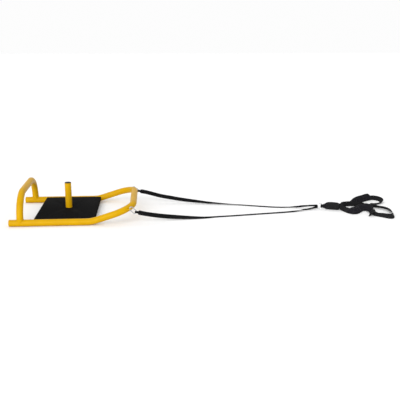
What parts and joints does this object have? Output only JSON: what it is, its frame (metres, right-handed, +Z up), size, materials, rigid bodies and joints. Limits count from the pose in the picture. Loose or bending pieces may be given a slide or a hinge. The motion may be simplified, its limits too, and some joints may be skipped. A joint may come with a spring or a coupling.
{
  "type": "drag sled",
  "caption": "Tubular steel drag sled with plate post and push hoop, tow straps on snap hooks, a ring and a padded shoulder harness.",
  "frame": {"origin": "middle of the footprint of the sled, ring and harness together, on the floor", "axes": "+X the way the sled is pulled, +Y from the near side to the far side, +Z up"},
  "size_m": [2.849, 0.688, 0.241],
  "materials": {
    "yellow_paint": "yellow powder coat, satin gloss",
    "black_paint": "matte black powder coat",
    "black_plastic": "moulded black plastic",
    "zinc": "bright zinc plate",
    "chrome": "polished chrome plate",
    "webbing": "woven black webbing",
    "pad_cloth": "padded black cloth with bound edges"
  },
  "bodies": {
    "sled": {"frame_tube": "yellow_paint", "near_rail_cap": "yellow_paint", "far_rail_cap": "yellow_paint", "push_hoop": "yellow_paint", "deck_plate": "black_paint", "post_cross_member": "black_paint", "weight_post": "yellow_paint", "post_cap": "black_plastic", "near_eye_lug": "zinc", "far_eye_lug": "zinc", "near_hook_body": "zinc", "far_hook_body": "zinc", "near_gate_pin": "zinc", "far_gate_pin": "zinc", "near_tow_strap": "webbing", "far_tow_strap": "webbing", "harness_leader": "webbing", "harness_yoke": "webbing", "near_lead_webbing": "webbing", "far_lead_webbing": "webbing", "near_shoulder_pad": "pad_cloth", "far_shoulder_pad": "pad_cloth", "near_arm_webbing": "webbing", "far_arm_webbing": "webbing", "adjuster_tail": "webbing"},
    "near_gate": {"near_hook_gate": "zinc"},
    "far_gate": {"far_hook_gate": "zinc"},
    "ring": {"tow_ring": "chrome"},
    "near_adjuster": {"near_slider": "black_plastic"},
    "far_adjuster": {"far_slider": "black_plastic"}
  },
  "joints": [
    {"name": "near_gate_hinge", "type": "hinge", "parent": "sled", "child": "near_gate", "pos_m": [-0.53902, -0.29947, 0.09877], "axis": [0.1736, -0.9848, 0], "range_deg": [0, 25], "stiffness_Nm_per_rad": 0.15, "springref_deg": -20.05},
    {"name": "far_gate_hinge", "type": "hinge", "parent": "sled", "child": "far_gate", "pos_m": [-0.5371, 0.29913, 0.10462], "axis": [-0.1736, -0.9848, 0], "range_deg": [0, 25], "stiffness_Nm_per_rad": 0.15, "springref_deg": -20.05},
    {"name": "ring_turn", "type": "hinge", "parent": "sled", "child": "ring", "pos_m": [0.86049, -0.025, 0.0264], "axis": [0, 1, 0], "continuous": true},
    {"name": "near_slider_slide", "type": "slide", "parent": "sled", "child": "near_adjuster", "axis": [0.0231, -0.9997, 0], "range_m": [-0.014, 0]},
    {"name": "far_slider_slide", "type": "slide", "parent": "sled", "child": "far_adjuster", "axis": [-0.9098, -0.4149, 0], "range_m": [-0.01, 0.01]}
  ]
}
